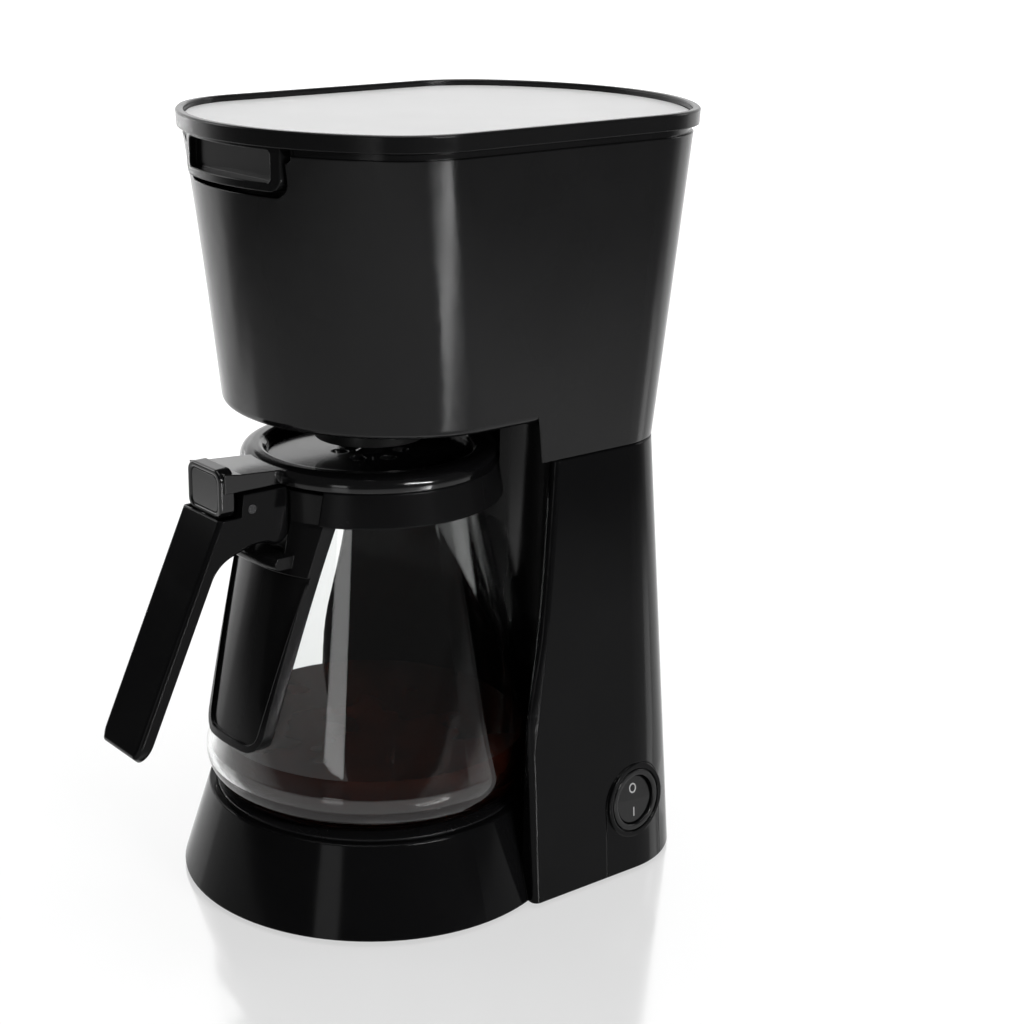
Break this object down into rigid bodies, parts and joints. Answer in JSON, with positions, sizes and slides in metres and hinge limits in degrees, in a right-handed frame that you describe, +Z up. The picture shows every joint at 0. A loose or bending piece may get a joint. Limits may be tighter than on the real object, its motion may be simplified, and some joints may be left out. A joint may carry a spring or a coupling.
{
  "type": "drip coffee maker",
  "caption": "Compact drip coffee maker with a tapered black body, hinged top lid, brew basket, warming plate and a glass carafe with a slanted handle.",
  "frame": {"origin": "middle of the footprint, on the surface the feet stand on", "axes": "+Z up, -Y to the front where the carafe handle points, +X to the side with the switch"},
  "size_m": [0.144, 0.2291, 0.283],
  "materials": {
    "satin_black": "satin moulded",
    "gloss_black": "polished moulded",
    "dark_grey_rim": "satin moulded",
    "pale_panel": "silver grey satin",
    "black_lid": "polished moulded",
    "inner_black": "moulded",
    "frame_dark": "moulded",
    "mesh": "fine woven nylon",
    "plate_coat": "non-stick coated steel",
    "silicone": "translucent silicone",
    "foot_rubber": "matt rubber",
    "zinc_steel": "zinc plated",
    "heater_metal": "cast and drawn aluminium",
    "fuse_sleeve": "woven glass sleeve",
    "tank_plastic": "natural polypropylene",
    "switch_black": "moulded",
    "jug_glass": "clear borosilicate"
  },
  "bodies": {
    "machine": {"base_housing": "gloss_black", "head_housing": "satin_black", "bottom_cover": "inner_black", "feet": "foot_rubber", "cover_screws": "zinc_steel", "head_screws": "zinc_steel", "warming_plate": "plate_coat", "plate_ring": "silicone", "heater": "heater_metal", "heater_clamp": "zinc_steel", "clamp_nut": "zinc_steel", "thermostat": "heater_metal", "thermal_fuses": "fuse_sleeve", "inlet_hose": "silicone", "check_valve": "tank_plastic", "riser_hose": "silicone", "riser_tube": "tank_plastic", "hose_clips": "zinc_steel", "water_tank": "tank_plastic", "tank_grommet": "silicone", "switch_panel": "gloss_black", "switch_bezel": "inner_black", "switch_body": "switch_black", "cord_gland": "foot_rubber", "lid_hinge_pin": "zinc_steel"},
    "lid": {"lid_frame": "dark_grey_rim", "lid_panel": "pale_panel", "shower_plate": "inner_black"},
    "brew_basket": {"filter_basket": "inner_black"},
    "filter": {"filter_frame": "frame_dark", "filter_mesh": "mesh"},
    "drip_stop": {"drip_stop_plunger": "inner_black", "drip_stop_seal": "silicone", "drip_stop_spring": "zinc_steel"},
    "carafe": {"carafe_glass": "jug_glass", "carafe_collar": "dark_grey_rim", "carafe_handle": "gloss_black", "handle_shield": "gloss_black", "handle_screw": "zinc_steel", "lid_pivot_pin": "zinc_steel"},
    "carafe_lid": {"carafe_lid": "black_lid", "thumb_pad": "gloss_black"},
    "rocker": {"rocker": "switch_black"}
  },
  "joints": [
    {"name": "lid_hinge", "type": "hinge", "parent": "machine", "child": "lid", "pos_m": [0, 0.10925, 0.272], "axis": [-1, 0, 0], "range_deg": [0, 95]},
    {"name": "basket_lift", "type": "slide", "parent": "machine", "child": "brew_basket", "axis": [0, 0, 1], "range_m": [0, 0.003]},
    {"name": "filter_lift", "type": "slide", "parent": "brew_basket", "child": "filter", "axis": [0, 0, 1], "range_m": [0, 0.003]},
    {"name": "carafe_slide", "type": "slide", "parent": "machine", "child": "carafe", "axis": [0, -1, 0], "range_m": [0, 0.2]},
    {"name": "carafe_lid_hinge", "type": "hinge", "parent": "carafe", "child": "carafe_lid", "pos_m": [0, -0.06555, 0.1533], "axis": [1, 0, 0], "range_deg": [0, 4]},
    {"name": "drip_stop_slide", "type": "slide", "parent": "brew_basket", "child": "drip_stop", "axis": [0, 0, 1], "range_m": [0, 0.0048], "deforming": ["drip_stop_spring"]},
    {"name": "rocker_tilt", "type": "hinge", "parent": "machine", "child": "rocker", "pos_m": [0.06665, 0.06454, 0.02882], "axis": [-0.0872, 0.9962, 0], "range_deg": [0, 16]}
  ],
  "couplings": [
    {"joint": "drip_stop_slide", "follows": "carafe_lid_hinge", "m_per_rad": 0.061}
  ]
}
